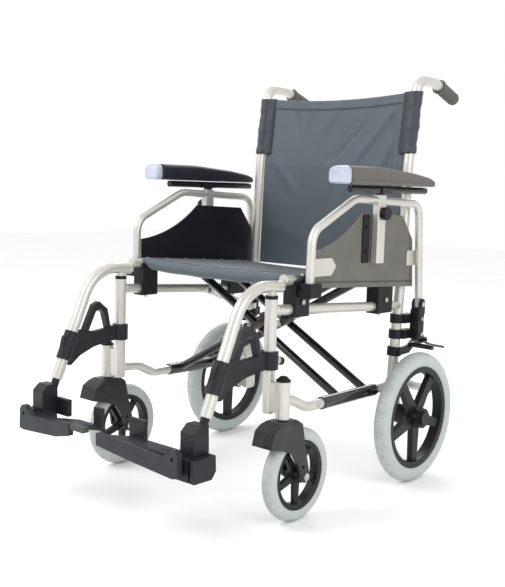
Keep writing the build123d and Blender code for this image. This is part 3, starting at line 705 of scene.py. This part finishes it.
back_hem = cloth("back_hem", hem_surface, (90, 24), HEM_FLAT, 0.0008, back_cloth_finish, "right_frame")
hem_line = [back_surface(i / 80, 1.0 - HEM_STITCH) + Vector((0, -0.0030, 0)) for i in range(4, 77)]
far_line = [p + Vector((0, 0.006, 0)) for p in hem_line]
hem_thread = stitch_row("back_hem_thread", [hem_line, far_line], "right_frame")
print("hem sewn with", len(hem_thread.data.vertices) // 24, "stitches")

# %% [markdown]
# ## Back sleeves
# A sleeve is a strip of the darker cloth folded round the cane and sewn to itself, so it
# is made the same way here: one section with a loop and a tail, repeated up the leaning
# tube with a little slack, then closed as a tube of cloth. Two rows of stitches hold it.

# %% Back sleeves
SLEEVE_LOW, SLEEVE_HIGH, SLEEVE_FLAT = 0.789, 0.938, (0.125, 0.149)
SLEEVE_R, TAIL_START, TAIL_LONG = 0.0150, 0.0125, 0.0190
SLEEVE_STEPS = 40


def sleeve_section(z):
    """Loop round the left cane at height z: a tube with a flat tail towards the middle."""
    centre = Vector((CANE_X, cane_y(z), z))
    slack = 0.0008 * math.sin(90 * z) + 0.0005 * math.sin(230 * z)
    radius = SLEEVE_R + slack
    loop = []
    for k in range(29):
        a = math.radians(145 - 290 * k / 28)
        loop.append(centre + Vector((radius * math.cos(a), radius * math.sin(a), 0)))
    for share in (0.35, 0.7, 1.0):
        loop.append(centre + Vector((-TAIL_START - TAIL_LONG * share, -0.0085 + 0.0050 * share, 0)))
    for share in (1.0, 0.7, 0.35):
        loop.append(centre + Vector((-TAIL_START - TAIL_LONG * share, 0.0085 - 0.0030 * share, 0)))
    return loop


def make_sleeve(side):
    """The sleeve of one cane and, as a second piece, the two rows of stitches along its tail."""
    sign, body = sign_of(side), f"{side}_frame"
    steps = range(SLEEVE_STEPS + 1)
    rows = [sleeve_section(SLEEVE_LOW + (SLEEVE_HIGH - SLEEVE_LOW) * i / SLEEVE_STEPS) for i in steps]
    flat = [[(0.003 * j, 0.0037 * i) for j in range(len(rows[0]))] for i in steps]
    mesh = ring_skin(rows, sign, sign < 0, capped=False, flat=flat)
    made = thicken(piece(f"{side}_back_sleeve", mesh, sleeve_finish, body), 0.0012)
    heights = [SLEEVE_LOW + 0.004 + 0.0052 * k for k in range(28)]
    seams = []
    for inset in (0.0, 0.006):
        x = sign * (CANE_X - 0.0285 + inset)
        seams.append([(x, cane_y(z) - 0.0052 - 0.35 * inset, z) for z in heights])
    return made, stitch_row(f"{side}_sleeve_thread", seams, body)


left_sleeve, left_seam = make_sleeve("left")
right_sleeve, right_seam = make_sleeve("right")
print("sleeves", [o.name for o in (left_sleeve, left_seam, right_sleeve, right_seam)])

# %% [markdown]
# ## The seat cloth
# The seat sling is screwed along the two seat tubes. It wraps up from the outside of each
# tube, runs across with a slight dip, and its front edge is rolled round a soft filling
# that reads as a small bolster. When the chair folds, the middle hangs between the tubes.

# %% Seat cloth
SEAT_X, SEAT_REAR, SEAT_FRONT, TUBE_R = 0.2374, 0.232, -0.148, 0.011
SEAT_FLAT, SEAT_DIP, SEAT_LIFT = (0.511, 0.44), 0.006, 0.0014
ROLL_START, ROLL_THIN, ROLL_MORE, ROLL_TAPER = 0.8, 0.0022, 0.0098, 0.045
WRAP, ROLL_TURN = math.radians(84), math.radians(285)


def seat_z(y):
    """Height of the seat tubes' centre line."""
    return 0.4965 - 0.0575 * y


def across_seat(u, lift):
    """x and height over the tube centre for u from 0 to 1, wrapping both tubes."""
    reach = TUBE_R + lift
    arc, flat = reach * WRAP, 2 * SEAT_X
    far = (2 * arc + flat) * u
    if far < arc:
        a = WRAP - far / reach
        return -SEAT_X - reach * math.sin(a), reach * math.cos(a)
    if far > arc + flat:
        a = (far - arc - flat) / reach
        return SEAT_X + reach * math.sin(a), reach * math.cos(a)
    x = far - arc - SEAT_X
    return x, reach - SEAT_DIP * (1 - (x / SEAT_X) ** 2)


def seat_surface(u, v):
    """The flat part for v up to ROLL_START, then the rolled front edge."""
    x, over = across_seat(u, SEAT_LIFT)
    if v <= ROLL_START:
        y = SEAT_REAR + (SEAT_FRONT - SEAT_REAR) * v / ROLL_START
        crease = 0.0012 * math.sin(9 * x + 31 * y) * math.sin(14 * y + 5 * x)
        inner = max(0.0, 1 - (x / 0.215) ** 2)
        return Vector((x, y, seat_z(y) + over + crease * inner))
    inside = max(0.0, min(1.0, (0.236 - abs(x)) / ROLL_TAPER))
    radius = ROLL_THIN + ROLL_MORE * inside * inside * (3 - 2 * inside)
    a = ROLL_TURN * (v - ROLL_START) / (1 - ROLL_START)
    y = SEAT_FRONT - radius * math.sin(a)
    z = seat_z(SEAT_FRONT) + over - radius * (1 - math.cos(a))
    return Vector((x, y, z + 0.0006 * math.sin(60 * x) * inside))


seat_cloth = cloth("seat_cloth", seat_surface, (150, 110), SEAT_FLAT, 0.0018, finishes["upholstery"], None)
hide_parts("seat_sling")
print("seat cloth spans", [round(v, 3) for v in seat_cloth.dimensions])

# %% [markdown]
# ## Seat seams
# The roll at the front is held by two rows of stitches across the chair. They are placed
# on the cloth's own surface at two fixed shares of its length, a thread's height above it.

# %% Seat seams
seat_lines = []
for run in (0.745, 0.765):
    seat_lines.append([seat_surface(i / 140, run) + Vector((0, 0, 0.0013)) for i in range(10, 131)])
seat_thread = stitch_row("seat_front_thread", seat_lines, None)
print("seat sewn across at", len(seat_lines), "rows")

# %% [markdown]
# ## Seat screws
# Pan head screws with cup washers hold the sling to each seat tube, six to a side, angled
# outwards. Each is a turned profile: a washer, then a shallow dome with a cross recess.

# %% Seat screws
washer = [(0.0058, 0.0), (0.0060, 0.0005), (0.0052, 0.0013), (0.0036, 0.0015)]
dome = [(0.0036, 0.0008), (0.0038, 0.0016), (0.0032, 0.0026), (0.0018, 0.0032), (0.0004, 0.0033)]
recess_arm = [(0.00030, 0.0), (0.00034, 0.0032)]
SCREWS, SCREW_REAR, SCREW_PITCH, SCREW_LEAN = 6, 0.205, 0.066, 0.6


def seat_screws(side, body):
    """The screws along one seat tube, leaning outwards."""
    sign = sign_of(side)
    mesh = bmesh.new()
    out = Vector((sign * math.sin(SCREW_LEAN), 0, math.cos(SCREW_LEAN)))
    for k in range(SCREWS):
        y = SCREW_REAR - SCREW_PITCH * k
        base = Vector((sign * SEAT_X, y, seat_z(y))) + out * (TUBE_R + 0.0020)
        turn(mesh, base, out, washer, 20)
        turn(mesh, base, out, dome, 20)
        for tilt in (0.3, 0.3 + math.pi / 2):
            arm = Vector((0, math.cos(tilt), 0)) + out.cross(Vector((0, 1, 0))) * math.sin(tilt)
            start = base + out * 0.0033 - arm * 0.0016
            turn(mesh, start, arm, recess_arm, 5)
    return piece(f"{side}_seat_screws", mesh, finishes["bolt_steel"], body)


screws = [seat_screws("left", "right_ladder"), seat_screws("right", "left_ladder")]
print("screws", [o.name for o in screws])

# %% [markdown]
# ## Arm pads
# Each pad is foam moulded with its own skin on a black base: flat below, crowned above,
# with a long fall towards the back and soft corners. A section is a rounded box that is
# taller where the side profile says so, and the ends close in over the last centimetre.

# %% Arm pads
pad_top = [(-0.081, 0.745), (-0.060, 0.7485), (0.070, 0.749), (0.200, 0.740), (0.262, 0.732), (0.292, 0.722)]
PAD_FRONT, PAD_REAR, CAP_FRONT = -0.0600, 0.2920, -0.0800
PAD_LEFT, PAD_RIGHT, PAD_FLOOR = 0.2630, 0.3140, 0.7090


def pad_height(y):
    """Height of the pad's top at y, from its side profile."""
    for (y0, z0), (y1, z1) in zip(pad_top, pad_top[1:]):
        if y <= y1:
            return z0 + (z1 - z0) * (y - y0) / (y1 - y0)
    return pad_top[-1][1]


def pad_section(y, shrink):
    """Closed ring of the left pad's section at y, pulled in by shrink."""
    middle, half = 0.5 * (PAD_LEFT + PAD_RIGHT), 0.5 * (PAD_RIGHT - PAD_LEFT) - shrink
    low, high = PAD_FLOOR + shrink * 0.6, pad_height(y) - shrink
    ring = []
    for k in range(40):
        a = 2 * math.pi * k / 40
        c, s = math.cos(a), math.sin(a)
        power = 0.30 if s < 0 else 0.52
        x = middle + half * math.copysign(abs(c) ** power, c)
        z = 0.5 * (low + high) + 0.5 * (high - low) * math.copysign(abs(s) ** (0.34 if s < 0 else 0.62), s)
        ring.append(Vector((x, y, z)))
    return ring


def pad_part(side, label, slot, start, stop, steps, shrink):
    """A closed run of pad sections from start to stop; shrink(y) pulls each one in."""
    sign = sign_of(side)
    places = [start + (stop - start) * i / steps for i in range(steps + 1)]
    mesh = ring_skin([pad_section(y, shrink(y)) for y in places], sign, sign > 0)
    return piece(f"{side}_{label}", mesh, finishes[slot], f"{side}_arm_pad")


def pad_ends(y):
    """A sharp edge at the cap and a round end at the back."""
    near = max(0.0, 1 - (y - PAD_FRONT) / 0.004)
    far = max(0.0, 1 - (PAD_REAR - y) / 0.014)
    return 0.0015 * near * near + 0.011 * (1 - math.sqrt(max(0.0, 1 - far * far)))


def make_pad(side):
    """The foam pad of one armrest, softened by one level of subdivision."""
    made = pad_part(side, "arm_cushion", "pad_foam", PAD_FRONT, PAD_REAR, 60, pad_ends)
    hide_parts(f"{side}_arm_pad")
    return soften(made)


pads = [make_pad("left"), make_pad("right")]
print("pads", [o.name for o in pads])

# %% [markdown]
# ## Pad caps
# The front of each pad is closed by a short grey moulded cap of the pad's own section, a
# shade smaller, with a rounded nose. A fine open joint is left between the two.

# %% Pad caps
CAP_JOINT, NOSE_LONG = 0.0006, 0.011


def cap_nose(y):
    """A rounded nose at the front."""
    near = max(0.0, 1 - (y - CAP_FRONT) / NOSE_LONG)
    return 0.0004 + 0.009 * (1 - math.sqrt(max(0.0, 1 - near * near)))


def make_cap(side):
    """The grey cap at the front of one pad."""
    made = pad_part(side, "cap_shell", "cap_grey", CAP_FRONT, PAD_FRONT - CAP_JOINT, 24, cap_nose)
    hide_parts(f"{side}_pad_cap")
    return soften(made)


caps = [make_cap("left"), make_cap("right")]
print("caps", [o.name for o in caps])

# %% [markdown]
# ## Pad seams
# Where the two halves of the mould met, a fine bead is left along both flanks of a pad,
# just above its base. It is a thin six-sided rod, set half into the skin.

# %% Pad seams
BEAD_R, BEAD_HIGH = 0.0006, 0.0085
around_bead = [(BEAD_R * math.cos(a), BEAD_R * math.sin(a)) for a in (math.pi * k / 3 for k in range(6))]


def pad_seam(side):
    """The moulding's parting line, a fine bead along both flanks of the pad."""
    mesh = bmesh.new()
    for x in (PAD_LEFT - 0.0002, PAD_RIGHT + 0.0002):
        path = [Vector((sign_of(side) * x, -0.055 + 0.0110 * k, PAD_FLOOR + BEAD_HIGH)) for k in range(31)]
        skin_rows([[p + Vector((dx, 0, dz)) for dx, dz in around_bead] for p in path], mesh=mesh)
    return piece(f"{side}_pad_seam", mesh, finishes["pad_foam"], f"{side}_arm_pad")


seams = [pad_seam("left"), pad_seam("right")]
print("seams", [o.name for o in seams])

# %% [markdown]
# ## Hand grips
# A push grip is a rubber sleeve with a flange at the cane, four finger hollows below and
# fine ribs for hold, closed by a rounded end. It is a skin through rings whose radius
# changes along the grip and, on the underside only, dips for the fingers.

# %% Hand grips
GRIP_START = Vector((CANE_X, 0.4058, 0.9601))
GRIP_AXIS = Vector((0.0, 0.9484, -0.3170)).normalized()
GRIP_DOWN = Vector((0.0, -0.3170, -0.9484)).normalized()
GRIP_LONG, GRIP_R, FLANGE_R = 0.0875, 0.0160, 0.0186
RIB_PITCH, RIB_HIGH = 0.0068, 0.00045
FINGER_WIDE, FINGER_DEEP = 0.0185, 0.0016
FLANGE_END, RIBS_START, END_ROUND = 0.006, 0.009, 0.010


def grip_radius(along):
    """Radius at a distance from the cane: flange, its slope, then square-shouldered ribs."""
    if along < FLANGE_END:
        return FLANGE_R - 0.0012 * abs(along - 0.003) / 0.003
    if along < RIBS_START:
        return GRIP_R + 0.0014 * (RIBS_START - along) / 0.003
    wave = math.sin(2 * math.pi * along / RIB_PITCH)
    return GRIP_R + RIB_HIGH * math.copysign(abs(wave) ** 0.5, wave)


def finger_hollow(along):
    """Depth of the finger hollows on the underside."""
    if along <= RIBS_START:
        return 0.0
    return FINGER_DEEP * (0.5 - 0.5 * math.cos(2 * math.pi * (along - RIBS_START) / FINGER_WIDE))


def make_grip(side):
    """The rubber push grip of one cane."""
    sign = sign_of(side)
    rows = []
    for i in range(121):
        along = GRIP_LONG * i / 120
        rounded = max(0.0, 1 - (GRIP_LONG - along) / END_ROUND)
        radius = grip_radius(along) * math.sqrt(max(0.02, 1 - 0.92 * rounded * rounded))
        ring = []
        for a in (2 * math.pi * k / 36 for k in range(36)):
            below = max(0.0, math.cos(a)) ** 2
            reach = radius - finger_hollow(along) * below * (1 - rounded)
            outwards = Vector((1, 0, 0)) * math.sin(a) + GRIP_DOWN * math.cos(a)
            ring.append(GRIP_START + GRIP_AXIS * along + outwards * reach)
        rows.append(ring)
    mesh = ring_skin(rows, sign, sign < 0)
    made = piece(f"{side}_hand_grip", mesh, finishes["grip_rubber"], f"{side}_frame")
    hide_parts(f"{side}_push_grip")
    return made


grips = [make_grip("left"), make_grip("right")]
print("grips", [o.name for o in grips])

# %% [markdown]
# ## Weld beads
# Where two tubes meet there is a weld: a rippled fillet all the way round. A bead is a
# ring swept round the joining tube, and the ripple is a small wave of its thickness.

# %% Weld beads
WELD_THICK, RIPPLES, RING_STEPS, BEAD_STEPS = 0.0022, 13, 72, 10
RAIL_R = 0.0108


def weld(mesh, centre, axis):
    """Add a rippled bead round a tube of RAIL_R that runs along axis."""
    axis = Vector(axis).normalized()
    side = axis.orthogonal().normalized()
    other = axis.cross(side)
    rows = []
    for a in (2 * math.pi * i / RING_STEPS for i in range(RING_STEPS)):
        out = side * math.cos(a) + other * math.sin(a)
        fat = WELD_THICK * (1 + 0.16 * math.sin(RIPPLES * a))
        turns = (2 * math.pi * k / BEAD_STEPS for k in range(BEAD_STEPS))
        section = [out * (RAIL_R + fat * math.cos(b)) + axis * fat * math.sin(b) for b in turns]
        rows.append([mesh.verts.new(Vector(centre) + p) for p in section])
    for i in range(RING_STEPS):
        low, high = rows[i], rows[(i + 1) % RING_STEPS]
        for j in range(BEAD_STEPS):
            k = (j + 1) % BEAD_STEPS
            mesh.faces.new((low[j], high[j], high[k], low[k]))


def make_welds(side):
    """The beads where the upper and the lower side rail meet the front post."""
    sign = sign_of(side)
    mesh = bmesh.new()
    weld(mesh, (sign * 0.2362, -0.2035, 0.4462), (0, 1, -0.0575))
    weld(mesh, (sign * 0.2402, -0.2035, 0.2560), (0.05, 1, 0))
    return piece(f"{side}_weld_beads", mesh, finishes["frame_paint"], f"{side}_frame")


welds = [make_welds("left"), make_welds("right")]
print("welds", [o.name for o in welds])

# %% [markdown]
# ## Baking the cloth meshes
# When the chair folds, each seat tube follows its own half of the cross brace and the back
# cloth crumples sideways towards the right cane. Here the seat cloth and its stitching only
# have their placement baked into their vertices, and the back cloth, its hem and its
# stitching each get their own copy of their mesh.

# %% Cloth meshes
for made in (seat_cloth, seat_thread):
    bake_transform(made)
for made in (back_cloth, back_hem, hem_thread):
    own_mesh(made)

# %% [markdown]
# ## Floor
# The floor is a plain pale sheet with a very faint mottling, so that it isn't perfectly
# even, and it belongs to the stage and not to the chair.

# %% Floor
floor_finish = Finish("pale_floor", specular_ior_level=0.1, roughness=0.9)
mottled = floor_finish.noise(3.0, 3.0).step(0.2, 0.8)
floor_finish.wear(floor_finish.blend(mottled, (0.965, 0.965, 0.965), (0.950, 0.950, 0.950)))
floor_mesh = bmesh.new()
bmesh.ops.create_grid(floor_mesh, x_segments=8, y_segments=8, size=9.0)
floor = piece("studio_floor", floor_mesh, floor_finish.material, None)
print("floor laid")
